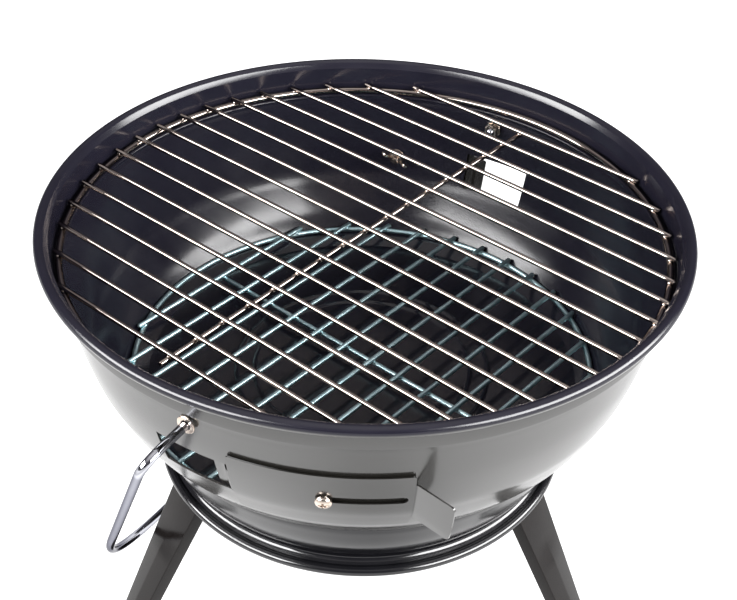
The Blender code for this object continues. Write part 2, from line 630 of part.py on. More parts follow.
def build():
    clear_scene()
    enamel = make_material("black_enamel", (0.012, 0.012, 0.014), 0.0, 0.12)
    chrome = make_material("chrome_wire", (0.72, 0.72, 0.72), 1.0, 0.12)
    zinc = make_material("zinc_wire", (0.45, 0.56, 0.58), 1.0, 0.25)
    steel = make_material("plated_steel", (0.62, 0.60, 0.57), 1.0, 0.22)
    paint = make_material("black_paint", (0.010, 0.010, 0.011), 0.0, 0.18)
    add_bowl(enamel)
    add_dampers(enamel)
    add_damper_fasteners(steel)
    add_bail(chrome, steel)
    add_grates(chrome, zinc)
    add_base_pan(enamel)
    add_legs(paint, steel)
    bpy.context.view_layer.update()


build()
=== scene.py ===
import bpy
import numpy as np
from math import radians
from mathutils import Matrix, Vector


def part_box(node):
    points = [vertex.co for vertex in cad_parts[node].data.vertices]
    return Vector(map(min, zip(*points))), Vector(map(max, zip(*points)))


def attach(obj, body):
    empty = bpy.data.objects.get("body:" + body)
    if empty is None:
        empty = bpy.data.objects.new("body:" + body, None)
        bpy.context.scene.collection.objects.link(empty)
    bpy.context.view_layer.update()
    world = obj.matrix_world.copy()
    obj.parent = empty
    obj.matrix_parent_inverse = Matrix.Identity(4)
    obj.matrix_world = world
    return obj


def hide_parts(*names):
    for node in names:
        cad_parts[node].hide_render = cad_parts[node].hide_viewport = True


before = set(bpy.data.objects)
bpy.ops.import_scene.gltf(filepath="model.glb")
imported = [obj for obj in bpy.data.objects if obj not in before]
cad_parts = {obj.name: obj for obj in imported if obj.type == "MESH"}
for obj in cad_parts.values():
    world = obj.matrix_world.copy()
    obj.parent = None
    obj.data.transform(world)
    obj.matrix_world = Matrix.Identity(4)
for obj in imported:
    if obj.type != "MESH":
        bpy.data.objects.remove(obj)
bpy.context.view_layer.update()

mm = 0.001  # a millimetre, in metres
print("frame loaded:", len(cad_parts), "nodes")


def hexColour(code):
    # sRGB to linear: c / 12.92 up to 0.04045, then ((c + 0.055) / 1.055) to the power 2.4
    c = np.array([int(code[i:i + 2], 16) / 255 for i in (1, 3, 5)])
    linear = np.where(c <= 0.04045, c / 12.92, ((c + 0.055) / 1.055) ** 2.4)
    return (*[float(x) for x in linear], 1.0)


def addNode(tree, kind, settings, links):
    # one node, its own settings or input values by name, and links as input name to output socket
    node = tree.nodes.new(kind)
    for name, value in settings.items():
        if hasattr(node, str(name)):
            setattr(node, name, value)
        else:
            node.inputs[name].default_value = value
    for name, socket in links.items():
        tree.links.new(socket, node.inputs[name])
    return node


def startMaterial(name, constants):
    # a new material with constants set on its Principled shader, and its Object coordinates
    material = bpy.data.materials.new(name)
    material.use_nodes = True
    tree = material.node_tree
    shader = tree.nodes["Principled BSDF"]
    for socket, value in constants.items():
        shader.inputs[socket].default_value = value
    place = addNode(tree, "ShaderNodeTexCoord", {}, {})
    return material, tree, shader, place.outputs["Object"]


def finishSurface(tree, shader, place, finish):
    # colour = dark to light by a noise of the patch size, roughness = low to high by a noise of the
    # smear size, and bump = height times a noise of the grain size, all sizes in metres
    patch = addNode(tree, "ShaderNodeTexNoise", {"Scale": 1 / finish["patch"], "Detail": 4.0},
                    {"Vector": place})
    colour = addNode(tree, "ShaderNodeMix", {"data_type": "RGBA", 6: hexColour(finish["dark"]),
                                             7: hexColour(finish["light"])}, {0: patch.outputs["Fac"]})
    tree.links.new(colour.outputs[2], shader.inputs["Base Color"])
    smear = addNode(tree, "ShaderNodeTexNoise", {"Scale": 1 / finish["smear"], "Detail": 3.0},
                    {"Vector": place})
    low, high = finish["rough"]
    rough = addNode(tree, "ShaderNodeMapRange", {"From Min": 0.3, "From Max": 0.7, "To Min": low,
                                                 "To Max": high}, {"Value": smear.outputs["Fac"]})
    tree.links.new(rough.outputs[0], shader.inputs["Roughness"])
    grain = addNode(tree, "ShaderNodeTexNoise", {"Scale": 1 / finish["grain"], "Detail": 2.0},
                    {"Vector": place})
    bump = addNode(tree, "ShaderNodeBump", {"Strength": 1.0, "Distance": finish["height"]},
                   {"Height": grain.outputs["Fac"]})
    tree.links.new(bump.outputs["Normal"], shader.inputs["Normal"])


def makeMaterial(name, constants, finish):
    # a new material with its whole surface
    material, tree, shader, place = startMaterial(name, constants)
    finishSurface(tree, shader, place, finish)
    return material


# vitreous enamel: glass frit sprayed on steel and fired, black and glossy, with a faint orange peel
enamelInside = makeMaterial("enamelInside", {"IOR": 1.5}, {
    "dark": "#100f17", "light": "#17161f", "patch": 0.02, "rough": (0.16, 0.24), "smear": 0.03,
    "grain": 0.0035, "height": 0.000006})

# the same enamel on the outside, a warmer black, with a raised IOR for its stronger reflections
enamelOutside = makeMaterial("enamelOutside", {"IOR": 1.85}, {
    "dark": "#141311", "light": "#1b1a18", "patch": 0.03, "rough": (0.15, 0.22), "smear": 0.04,
    "grain": 0.004, "height": 0.000008})

# the pan's thicker coat of black enamel, deep and glossy
enamelPan = makeMaterial("enamelPan", {"IOR": 1.6}, {
    "dark": "#08080a", "light": "#0f0f12", "patch": 0.02, "rough": (0.12, 0.20), "smear": 0.03,
    "grain": 0.004, "height": 0.000007})

# powder-coated steel: baked black with a slight warm cast, and weak in its reflections
coatedLeg = makeMaterial("coatedLeg", {"IOR": 1.5, "Specular IOR Level": 0.18}, {
    "dark": "#0b0909", "light": "#141110", "patch": 0.015, "rough": (0.14, 0.22), "smear": 0.02,
    "grain": 0.0025, "height": 0.00001})

# chromed steel wire: drawn and thinly plated over nickel, a little brown; the specular tint darkens its
# glancing reflections more than plain chrome does, which outlines each wire
chromedWire = makeMaterial("chromedWire", {"Metallic": 1.0, "Specular Tint": (0.12, 0.11, 0.11, 1)}, {
    "dark": "#8f837c", "light": "#b9afa8", "patch": 0.012, "rough": (0.06, 0.12), "smear": 0.01,
    "grain": 0.0015, "height": 0.000006})

# the handle's thicker rod: a bright, even coat of chrome, with a lighter specular tint than the wire's
chromedRod = makeMaterial("chromedRod", {"Metallic": 1.0, "Specular Tint": (0.22, 0.22, 0.24, 1)}, {
    "dark": "#b8b9c0", "light": "#d2d3da", "patch": 0.015, "rough": (0.05, 0.10), "smear": 0.012,
    "grain": 0.003, "height": 0.000005})

# zinc plated wire with a blue passivation, a little milky
zincedWire = makeMaterial("zincedWire", {"Metallic": 1.0}, {
    "dark": "#9dbfc6", "light": "#c9dfe2", "patch": 0.014, "rough": (0.28, 0.42), "smear": 0.01,
    "grain": 0.0012, "height": 0.00001})

# nickel plated screws and nuts, warm where the copper strike shows through
nickelSteel = makeMaterial("nickelSteel", {"Metallic": 1.0}, {
    "dark": "#b8a090", "light": "#e4dcd2", "patch": 0.003, "rough": (0.12, 0.26), "smear": 0.003,
    "grain": 0.0008, "height": 0.00001})

# zinc plated nuts and washers under the pan, dull grey
zincedNut = makeMaterial("zincedNut", {"Metallic": 1.0}, {
    "dark": "#8c9094", "light": "#b9bcbd", "patch": 0.004, "rough": (0.28, 0.42), "smear": 0.004,
    "grain": 0.0009, "height": 0.000012})
print("materials made")


def makePiece(name, points, faces, materials, body, nodes, faceMaterial=None, sharpAngle=40):
    # points (n, 3) and quads or triangles as index arrays go into one mesh that rides on a body
    mesh = bpy.data.meshes.new(name)
    mesh.from_pydata(points.tolist(), [], [f for group in faces for f in group.tolist()])
    for material in materials:
        mesh.materials.append(material)
    if faceMaterial is not None:
        mesh.polygons.foreach_set("material_index", faceMaterial.astype(np.int32))
    mesh.shade_smooth()
    mesh.set_sharp_from_angle(angle=radians(sharpAngle))
    mesh.validate()
    mesh.update()
    piece = bpy.data.objects.new(name, mesh)
    bpy.context.scene.collection.objects.link(piece)
    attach(piece, body)
    if nodes:
        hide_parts(*nodes)
    return piece


def gridQuads(rows, cols, wrapRows, wrapCols):
    # quads of a rows by cols grid: (i, j), (i + 1, j), (i + 1, j + 1), (i, j + 1)
    i = np.arange(rows if wrapRows else rows - 1)[:, None]
    j = np.arange(cols if wrapCols else cols - 1)[None, :]
    a = i * cols + j
    b = (i + 1) % rows * cols + j
    c = (i + 1) % rows * cols + (j + 1) % cols
    d = i * cols + (j + 1) % cols
    return np.stack([a, b, c, d], axis=-1).reshape(-1, 4)


def turnedGrid(profile, angles):
    # P(i, a) = (r_i cos a, r_i sin a, z_i)
    r, z = profile[:, 0][:, None], profile[:, 1][:, None]
    x = r * np.cos(angles)[None, :]
    y = r * np.sin(angles)[None, :]
    return np.stack([x, y, np.broadcast_to(z, x.shape)], axis=-1)


def smoothThrough(points, steps):
    # Catmull-Rom: each stretch is the cubic through its ends with slopes (next - previous) / 2
    p = np.asarray(points, float)
    padded = np.vstack([2 * p[0] - p[1], p, 2 * p[-1] - p[-2]])
    t = (np.arange(steps) / steps)[None, :, None]
    a, b, c, d = (padded[k:len(padded) - 3 + k][:, None, :] for k in range(4))
    curve = 0.5 * (2 * b + (c - a) * t + (2 * a - 5 * b + 4 * c - d) * t ** 2
                   + (3 * b - a - 3 * c + d) * t ** 3)
    return np.vstack([curve.reshape(-1, p.shape[1]), p[-1:]])


def arcPoints(centre, radius, start, end, count):
    # (cx + r cos t, cy + r sin t), t from start to end in degrees
    t = np.radians(np.linspace(start, end, count))
    return np.stack([centre[0] + radius * np.cos(t), centre[1] + radius * np.sin(t)], axis=-1)


def roundedCorners(corners, radius, count):
    # each corner C becomes the curve (1-t)^2 A + 2t(1-t) C + t^2 B, A and B at radius from C
    c = np.asarray(corners, float)
    before, after = np.roll(c, 1, axis=-2) - c, np.roll(c, -1, axis=-2) - c
    a = c + before / np.linalg.norm(before, axis=-1, keepdims=True) * radius
    b = c + after / np.linalg.norm(after, axis=-1, keepdims=True) * radius
    t = np.linspace(0, 1, count)[:, None]
    bend = ((1 - t) ** 2 * a[..., None, :] + 2 * t * (1 - t) * c[..., None, :] + t ** 2 * b[..., None, :])
    return bend.reshape(*c.shape[:-2], -1, c.shape[-1])


def heading(azimuth):
    # the level unit vector at an azimuth
    t = np.radians(azimuth)
    return np.stack([np.cos(t), np.sin(t), np.zeros_like(t)], axis=-1)


def wireTubes(paths, radius, up, sides, closed):
    # P(k, i, a) = C + s_i r (N cos a + B sin a), N the up vector squared to the run T, B = T x N.
    # An open wire gets two more stations at each end, with s = 0.72 and 0.02, which round it off.
    c = np.asarray(paths, float)
    if closed:
        run = np.roll(c, -1, axis=1) - np.roll(c, 1, axis=1)
        size = np.ones(c.shape[1])
    else:
        run = np.gradient(c, axis=1)
        first, last = run[:, :1], run[:, -1:]
        first = first / np.linalg.norm(first, axis=-1, keepdims=True) * radius
        last = last / np.linalg.norm(last, axis=-1, keepdims=True) * radius
        c = np.concatenate([c[:, :1] - 0.45 * first, c[:, :1] - 0.35 * first, c,
                            c[:, -1:] + 0.35 * last, c[:, -1:] + 0.45 * last], axis=1)
        run = np.concatenate([run[:, :1], run[:, :1], run, run[:, -1:], run[:, -1:]], axis=1)
        size = np.concatenate([[0.02, 0.72], np.ones(c.shape[1] - 4), [0.72, 0.02]])
    t = run / np.linalg.norm(run, axis=-1, keepdims=True)
    n = up - np.sum(up * t, axis=-1, keepdims=True) * t
    n = n / np.linalg.norm(n, axis=-1, keepdims=True)
    b = np.cross(t, n)
    a = np.arange(sides) / sides * 2 * np.pi
    spread = (n[:, :, None] * np.cos(a)[:, None] + b[:, :, None] * np.sin(a)[:, None])
    points = c[:, :, None] + spread * (radius * size)[None, :, None, None]
    wires, stations = points.shape[:2]
    quads = gridQuads(stations, sides, closed, True)[:, ::-1]
    faces = (quads[None] + (np.arange(wires) * stations * sides)[:, None, None]).reshape(-1, 4)
    groups = [faces]
    if not closed:
        base = (np.arange(wires) * stations * sides)[:, None]
        ends = np.arange(sides)[None]
        groups += [base + ends, base + (stations - 1) * sides + ends[:, ::-1]]
    return points.reshape(-1, 3), groups


def joined(parts):
    # several (points, face groups) as one, each group's indices moved past the points before it
    points, groups, start = [], [], 0
    for p, faces in parts:
        points.append(p)
        groups += [f + start for f in faces]
        start += len(p)
    return np.vstack(points), groups


def facingOut(points, groups):
    # the volume under the faces, by summing p0 . (p1 x p2) / 6 over triangles: negative means inside out
    total = 0.0
    for faces in groups:
        for k in range(1, faces.shape[1] - 1):
            a, b, c = (points[faces[:, m]] for m in (0, k, k + 1))
            total += np.einsum("ij,ij->", a, np.cross(b, c)) / 6
    return groups if total > 0 else [faces[:, ::-1] for faces in groups]


bowlSettings = {
    "steps": 288, "sheet": 1.2 * mm,
    "rimRadius": 174.7 * mm, "rimHeight": 273.6 * mm, "bead": 3.2 * mm, "collar": 171.4 * mm,
    "floor": 164.0 * mm, "circles": (63.9 * mm, 74.5 * mm), "circleHeight": 0.8 * mm,
    "circleWidth": 0.9 * mm, "ledgeStart": 254.5 * mm, "underCollar": 256.4 * mm, "cornerClearance": 1.2 * mm,
    "ventAzimuths": (-129.4, -114.0), "ventTurns": (1.0, 180.0),
    "ventTop": 225.0 * mm, "ventBottom": 202.4 * mm,
    "ledge": ((164.7, 256.0), (166.4, 256.9), (168.8, 257.4)),
    "foldUnderCollar": ((171.1, 258.6), (169.6, 257.4), (168.0, 256.9)),
}
# outside of the wall, (height, radius) in millimetres, from under the collar to the fold at the floor
wallPoints = [(256.6, 166.6), (252, 165.6), (247, 164.9), (227, 161.8), (207, 156.8), (197, 152.8),
              (187, 148.2), (180, 144.3), (174, 140.0), (169.5, 136.6), (167, 133.2), (165, 129.4),
              (163.5, 124.6), (162.8, 119.0)]
wall = smoothThrough(np.array(wallPoints) * mm, 7)


def wallRadius(height):
    # the wall's outside radius at a height, read along the curve
    return np.interp(height, wall[::-1, 0], wall[::-1, 1])


def bowlProfile(s):
    # up the inside from the floor's centre, over the rolled rim and down the outside, with the
    # inner wall at r - sheet * sqrt(1 + (dr/dz)^2)
    heights = np.unique(np.concatenate([np.linspace(s["floor"] - 0.1 * mm, s["underCollar"], 90),
                                        [s["ventTop"], s["ventBottom"]]]))
    heights = heights[heights > s["floor"] + s["cornerClearance"]]
    outer = wallRadius(heights)
    slope = np.gradient(outer, heights)
    inner = outer - s["sheet"] * np.sqrt(1 + slope ** 2)
    keep = heights < s["ledgeStart"]
    first, second = s["circles"]
    near, far = 1.6 * mm, 2.4 * mm
    floorRadii = np.concatenate([np.linspace(0.4 * mm, first - far, 8),
                                 np.linspace(first - near, first + near, 9),
                                 np.linspace(first + far, second - far, 3),
                                 np.linspace(second - near, second + near, 9),
                                 np.linspace(second + far, inner[0] - 3 * mm, 10)])
    ridge = sum(np.exp(-((floorRadii - r) / s["circleWidth"]) ** 2) for r in (first, second))
    floorInside = np.stack([floorRadii, s["floor"] + s["circleHeight"] * ridge], axis=-1)
    innerWall = np.stack([inner[keep], heights[keep]], axis=-1)
    c = s["collar"] - s["sheet"]
    ledge = smoothThrough([(inner[keep][-1], heights[keep][-1]), *(np.array(s["ledge"]) * mm),
                           (c - 0.2 * mm, 258.9 * mm), (c, 261.0 * mm)], 5)[1:]
    bead = arcPoints((s["rimRadius"], s["rimHeight"]), s["bead"], 160, -165, 40)
    inside = np.vstack([floorInside, innerWall, ledge, [(c, 270.6 * mm), (c, 272.6 * mm)]])
    step = smoothThrough([(s["collar"], 270.8 * mm), (s["collar"], 260.2 * mm),
                          *(np.array(s["foldUnderCollar"]) * mm)], 5)
    outerWall = np.stack([outer, heights], axis=-1)[::-1]
    under = np.stack([np.linspace(outer[0] - 2 * mm, 0.4 * mm, 10),
                      np.full(10, s["floor"] - s["sheet"])], axis=-1)
    profile = np.vstack([inside, bead, step, outerWall, under])
    innerRows = len(floorInside) + np.arange(keep.sum())
    outerRows = len(inside) + len(bead) + len(step) + np.arange(len(heights))[::-1]
    return profile, heights[keep], innerRows, outerRows[:keep.sum()], len(inside) + len(bead) // 2


def makeBowl(s):
    # the profile turned round the axis, less the quads inside each vent, whose edges are joined by sleeves
    profile, heights, innerRows, outerRows, insideRows = bowlProfile(s)
    vents = np.radians(np.add.outer(s["ventTurns"], s["ventAzimuths"])) % (2 * np.pi)
    angles = np.linspace(0, 2 * np.pi, s["steps"], endpoint=False)
    angles = np.unique(np.round(np.concatenate([angles, vents.ravel()]), 9))
    cols = len(angles)
    points = turnedGrid(profile, angles).reshape(-1, 3)
    quads = gridQuads(len(profile), cols, False, True)
    row, col = quads[:, 0] // cols, quads[:, 0] % cols
    ventRows = np.flatnonzero((heights >= s["ventBottom"] - 1e-6) & (heights <= s["ventTop"] + 1e-6))
    inVent = np.zeros(len(quads), bool)
    sleeves = []
    for low, high in vents:
        here = np.flatnonzero((angles >= low - 1e-6) & (angles <= high + 1e-6))
        colIn = np.isin(col, here[:-1])
        inVent |= colIn & np.isin(row, innerRows[ventRows[:-1]])
        inVent |= colIn & np.isin(row, outerRows[ventRows[1:]])
        tall, wide = len(ventRows) - 1, len(here) - 1
        loopRows = np.concatenate([np.full(wide, 0), np.arange(tall), np.full(wide, tall),
                                   np.arange(tall, 0, -1)])
        loopCols = np.concatenate([here[:-1], np.full(tall, here[-1]), here[:0:-1], np.full(tall, here[0])])
        a = innerRows[ventRows[loopRows]] * cols + loopCols
        b = outerRows[ventRows[loopRows]] * cols + loopCols
        sleeves.append(np.stack([a, np.roll(a, -1), np.roll(b, -1), b], axis=-1))
    quads = quads[~inVent]
    quads = np.vstack([quads[:, ::-1]] + sleeves)
    caps = np.stack([np.arange(cols), (len(profile) - 1) * cols + np.arange(cols)[::-1]])
    material = np.concatenate([(quads[:, 3] // cols >= insideRows).astype(int), [0, 1]])
    makePiece("bowlShell", points, [quads, caps], [enamelInside, enamelOutside], "grill", ["bowl"],
              material, 30)


makeBowl(bowlSettings)
print("bowl made")


panSettings = {
    "steps": 288, "bead": 2.9 * mm, "beadRadius": 118.9 * mm, "beadHeight": 118.7 * mm,
    # (radius, height) in millimetres
    "outside": ((0.4, 162.5), (60, 162.5), (118, 162.5), (122.5, 162.3), (125.8, 161.2), (127.4, 158.4),
                (126.4, 153.0), (123.6, 143.0), (119.0, 133.0), (114.6, 127.2), (113.6, 124.4),
                (114.6, 122.3), (116.68, 120.9)),
    "inside": ((115.6, 119.4), (114.0, 120.9), (112.4, 123.6), (113.2, 127.4), (117.8, 133.6), (122.4, 143.4),
               (125.2, 153.3), (126.0, 158.0), (124.8, 160.2), (122.2, 161.3), (60, 161.3), (0.4, 161.3)),
}


def makePan(s):
    # an upturned pan: flat top, neck, gutter and rolled rim, then back along the underside, all turned
    outside = smoothThrough(np.array(s["outside"]) * mm, 6)
    bead = arcPoints((s["beadRadius"], s["beadHeight"]), s["bead"], 138, -172, 36)
    inside = smoothThrough(np.array(s["inside"]) * mm, 6)
    profile = np.vstack([outside, bead, inside])
    angles = np.linspace(0, 2 * np.pi, s["steps"], endpoint=False)
    cols = len(angles)
    points = turnedGrid(profile, angles).reshape(-1, 3)
    quads = gridQuads(len(profile), cols, False, True)
    caps = np.stack([np.arange(cols)[::-1], (len(profile) - 1) * cols + np.arange(cols)])
    groups = facingOut(points, [quads, caps])
    makePiece("panShell", points, groups, [enamelPan], "grill", ["base_pan"], None, 30)


makePan(panSettings)
print("base pan made")


legSettings = {
    "azimuths": {"left": -150.0, "right": -30.0, "rear": 90.0}, "footRadius": 172 * mm, "slope": 0.5,
    "top": 161 * mm, "knee": 125 * mm, "width": 33 * mm, "footWidth": 16.5 * mm, "depth": 9 * mm,
    "sheet": 1.5 * mm, "ridge": 1.3 * mm, "ridgeHeights": (74 * mm, 86 * mm), "round": 0.7 * mm,
    "tab": (66 * mm, 92 * mm, 26 * mm), "tabUnder": (1.7 * mm, 0.2 * mm), "tabCorner": 4 * mm,
}


def legShape(s):
    # a channel section at each height z: its face at r = footRadius - slope z, its half width growing
    # to the knee, and a centre ridge that fades in below
    z = np.concatenate([[0.0, 0.35 * mm], np.linspace(2 * mm, s["top"] - 2 * mm, 60), [s["top"]]])
    r = s["footRadius"] - s["slope"] * z
    half = (s["footWidth"] + (s["width"] - s["footWidth"]) * np.clip(z / s["knee"], 0, 1)) / 2
    full, start = s["ridgeHeights"]
    ridge = s["ridge"] * np.clip((start - z) / (start - full), 0, 1)
    inner = r - s["sheet"] * np.sqrt(1 + s["slope"] ** 2)
    back = r - s["depth"]
    zero = np.zeros_like(z)
    corners = np.stack([np.stack(p, axis=-1) for p in (
        (r, -half), (r + ridge, zero), (r, half), (back, half), (back, half - s["sheet"]),
        (inner, half - s["sheet"]), (inner + ridge, zero), (inner, s["sheet"] - half),
        (back, s["sheet"] - half), (back, -half))], axis=1)
    outline = roundedCorners(corners, s["round"], 6)
    points = np.concatenate([outline, np.broadcast_to(z[:, None, None], (*outline.shape[:2], 1))], axis=-1)
    rows, cols = points.shape[:2]
    quads = gridQuads(rows, cols, False, True)
    flat = points.reshape(-1, 3)
    caps = np.stack([np.arange(cols)[::-1], (rows - 1) * cols + np.arange(cols)])
    return flat, facingOut(flat, [quads, caps])


def slabShape(low, high, soft, count=5):
    # a box with its upright corners rounded: the outline at four heights, the outer two drawn in
    x0, y0, z0 = low
    x1, y1, z1 = high
    corners = np.array([(x0, y0), (x1, y0), (x1, y1), (x0, y1)])
    outline = roundedCorners(corners, soft, count)
    middle = outline.mean(axis=0)
    shrink = np.array([0.985, 1.0, 1.0, 0.985])[:, None, None]
    rings = middle + (outline - middle)[None] * shrink
    heights = np.array([z0, z0 + 0.2 * mm, z1 - 0.2 * mm, z1])[:, None, None]
    points = np.concatenate([rings, np.broadcast_to(heights, (*rings.shape[:2], 1))], axis=-1)
    cols = len(outline)
    flat = points.reshape(-1, 3)
    caps = np.stack([np.arange(cols)[::-1], 3 * cols + np.arange(cols)])
    return flat, facingOut(flat, [gridQuads(4, cols, False, True), caps])


def turnedBy(points, azimuth):
    # points turned about the upright axis
    t = radians(azimuth)
    turn = np.array([(np.cos(t), -np.sin(t), 0), (np.sin(t), np.cos(t), 0), (0, 0, 1)])
    return points @ turn.T


def makeLegs(s):
    # one leg and its tab, turned to each azimuth
    inner, outer, width = s["tab"]
    low, high = (s["top"] - under for under in s["tabUnder"])
    tab = slabShape((inner, -width / 2, low), (outer, width / 2, high), s["tabCorner"], 7)
    points, groups = joined([legShape(s), tab])
    for side, azimuth in s["azimuths"].items():
        makePiece("leg" + side.capitalize(), turnedBy(points, azimuth), groups, [coatedLeg], "grill",
                  ["leg_" + side], None, 30)


makeLegs(legSettings)
print("legs made")


grateSettings = {
    "cooking": {"turn": -39.8, "ring": 165.9 * mm, "ringWire": 1.8 * mm, "wire": 1.4 * mm, "pitch": 18.2 * mm,
                "bars": 17, "shift": 0.0, "hoop": 259.2 * mm, "dome": 1.6 * mm,
                "ends": (-151.6 * mm, 147.6 * mm), "sink": 0.4 * mm, "past": 2.2 * mm},
    "charcoal": {"turn": 50.2, "ring": 134.0 * mm, "ringWire": 1.6 * mm, "wire": 1.5 * mm, "pitch": 20.7 * mm,
                 "bars": 12, "shift": 2.2 * mm, "hoop": 171.7 * mm, "dome": 0.0,
                 "ends": (-113.6 * mm, 118.0 * mm), "sink": 0.4 * mm, "past": 2.2 * mm},
}


def grateShape(s):
    # a hoop, straight bars over it at y = shift + k pitch, and one bar across under their middles;
    # each bar rises by dome (1 - (r / ring)^2), and a bead of weld sits where two wires meet
    barHeight = s["hoop"] + s["ringWire"] + s["wire"] - s["sink"]
    t = np.linspace(0, 2 * np.pi, 240, endpoint=False)
    hoop = np.stack([s["ring"] * np.cos(t), s["ring"] * np.sin(t), np.full_like(t, s["hoop"])], axis=-1)[None]
    up = np.array([0.0, 0.0, 1.0])
    y = s["shift"] + (np.arange(s["bars"]) - (s["bars"] - 1) / 2) * s["pitch"]
    reach = np.sqrt((s["ring"] + s["past"]) ** 2 - y ** 2)
    x = np.linspace(-1, 1, 25)[None, :] * reach[:, None]
    lift = s["dome"] * (1 - (x ** 2 + y[:, None] ** 2) / s["ring"] ** 2)
    bars = np.stack([x, np.broadcast_to(y[:, None], x.shape), barHeight + lift], axis=-1)
    v = np.linspace(*s["ends"], 40)
    crossHeight = barHeight - 2 * s["wire"] + s["sink"]
    crossLift = s["dome"] * (1 - v ** 2 / s["ring"] ** 2)
    cross = np.stack([np.zeros_like(v), v, crossHeight + crossLift], axis=-1)[None]
    inside = y[(y > s["ends"][0]) & (y < s["ends"][1])]
    beadZ = barHeight - s["wire"] + s["dome"] * (1 - inside ** 2 / s["ring"] ** 2)
    welds = [weldBead(0.0, a, b, s["wire"]) for a, b in zip(inside, beadZ)]
    meet = np.sqrt(np.maximum(s["ring"] ** 2 - y ** 2, 0))
    for sign in (-1, 1):
        welds += [weldBead(sign * a, b, barHeight - s["wire"], s["wire"]) for a, b in zip(meet, y)]
    return joined([wireTubes(hoop, s["ringWire"], up, 16, True), wireTubes(bars, s["wire"], up, 14, False),
                   wireTubes(cross, s["wire"], up, 14, False)] + welds)


def weldBead(x, y, z, wire):
    # a squashed ball, P = C + (a cos u cos v, a sin u cos v, 0.7 a sin v)
    v = np.radians(np.linspace(-85, 85, 6))[:, None]
    u = np.linspace(0, 2 * np.pi, 10, endpoint=False)[None, :]
    a = wire * 1.25
    points = np.stack([x + a * np.cos(u) * np.cos(v), y + a * np.sin(u) * np.cos(v),
                       z + 0.7 * a * np.sin(v) + 0 * u], axis=-1).reshape(-1, 3)
    quads = gridQuads(6, 10, False, True)[:, ::-1]
    caps = np.stack([np.arange(10)[::-1], 50 + np.arange(10)])
    return points, [quads, caps]


for name, material, slot in (("cooking", chromedWire, "chrome_wire"), ("charcoal", zincedWire, "zinc_wire")):
    points, groups = grateShape(grateSettings[name])
    makePiece(name + "Grate", turnedBy(points, grateSettings[name]["turn"]), groups, [material],
              name + "_grate", [name + "_grate"], None, 50)
print("grates made")


bailSettings = {
    "azimuth": -119.5, "turns": {"front": 0.0, "back": 180.0}, "height": 247 * mm, "rest": 26.8,
    "wire": 2.4 * mm, "end": 156.5 * mm, "stub": 200 * mm, "corner": (149.5 * mm, 203 * mm), "bend": 9 * mm,
    "shoulder": 115 * mm,
}


def filletedPath(points, radii, step):
    # straight runs with each inner corner replaced by the arc of its radius that touches both runs
    p = np.asarray(points, float)
    pieces = [p[:1]]
    for before, here, after, radius in zip(p, p[1:], p[2:], radii):
        back = (before - here) / np.linalg.norm(before - here)
        ahead = (after - here) / np.linalg.norm(after - here)
        half = np.arccos(np.dot(back, ahead)) / 2
        middle = (back + ahead) / np.linalg.norm(back + ahead)
        centre = here + middle * radius / np.sin(half)
        start = here + back * radius / np.tan(half) - centre
        end = here + ahead * radius / np.tan(half) - centre
        sweep = np.pi - 2 * half
        share = np.linspace(0, 1, max(6, int(np.degrees(sweep) / step)))[:, None]
        arc = (np.sin(sweep * (1 - share)) * start + np.sin(sweep * share) * end) / np.sin(sweep)
        pieces.append(centre + arc)
    pieces.append(p[-1:])
    return np.vstack(pieces)


def makeBail(s):
    # the flat outline (along, away) is laid in the plane of the pivot line and the hanging direction
    x, drop = s["corner"]
    flat = filletedPath([(s["end"], 0), (s["stub"], 0), (x, drop), (-x, drop), (-s["stub"], 0),
                         (-s["end"], 0)], (s["bend"], s["shoulder"], s["shoulder"], s["bend"]), 3)
    along = heading(s["azimuth"])
    swing = radians(s["rest"])
    away = heading(s["azimuth"] - 90) * np.sin(swing) - np.array([0, 0, np.cos(swing)])
    path = flat[:, :1] * along + flat[:, 1:] * away + np.array([0, 0, s["height"]])
    points, groups = wireTubes(path[None], s["wire"], np.cross(along, away), 24, False)
    makePiece("bailRod", points, groups, [chromedRod], "bail", ["bail_handle"], None, 50)


makeBail(bailSettings)
print("bail made")


damperSettings = {
    "turns": {"front": 1.0, "back": 180.0}, "slid": {"front": 0.0, "back": -1.8},
    "plate": (-113.8, -81.5), "bolt": -96.9, "ventHeight": 213.7 * mm, "boltHeight": 215.2 * mm,
    "top": 234 * mm, "bottom": 189 * mm, "corner": 1.6 * mm, "thick": 1.0 * mm, "standOff": 0.8 * mm,
    "tab": (197.4 * mm, 227.4 * mm, 24.2 * mm), "tabBend": 51.0, "tabRound": 2.2 * mm, "tabCorner": 2.5 * mm,
    "tongue": (9.5 * mm, 10.5 * mm), "tongueCorner": 1 * mm, "tongueGap": 0.6 * mm, "joggle": 3.6 * mm,
    "joggleStart": 0.4 * mm, "notch": (1.5 * mm, 1.6 * mm), "travel": 13.5, "slot": 2.6 * mm,
    "edge": 0.25 * mm,
}


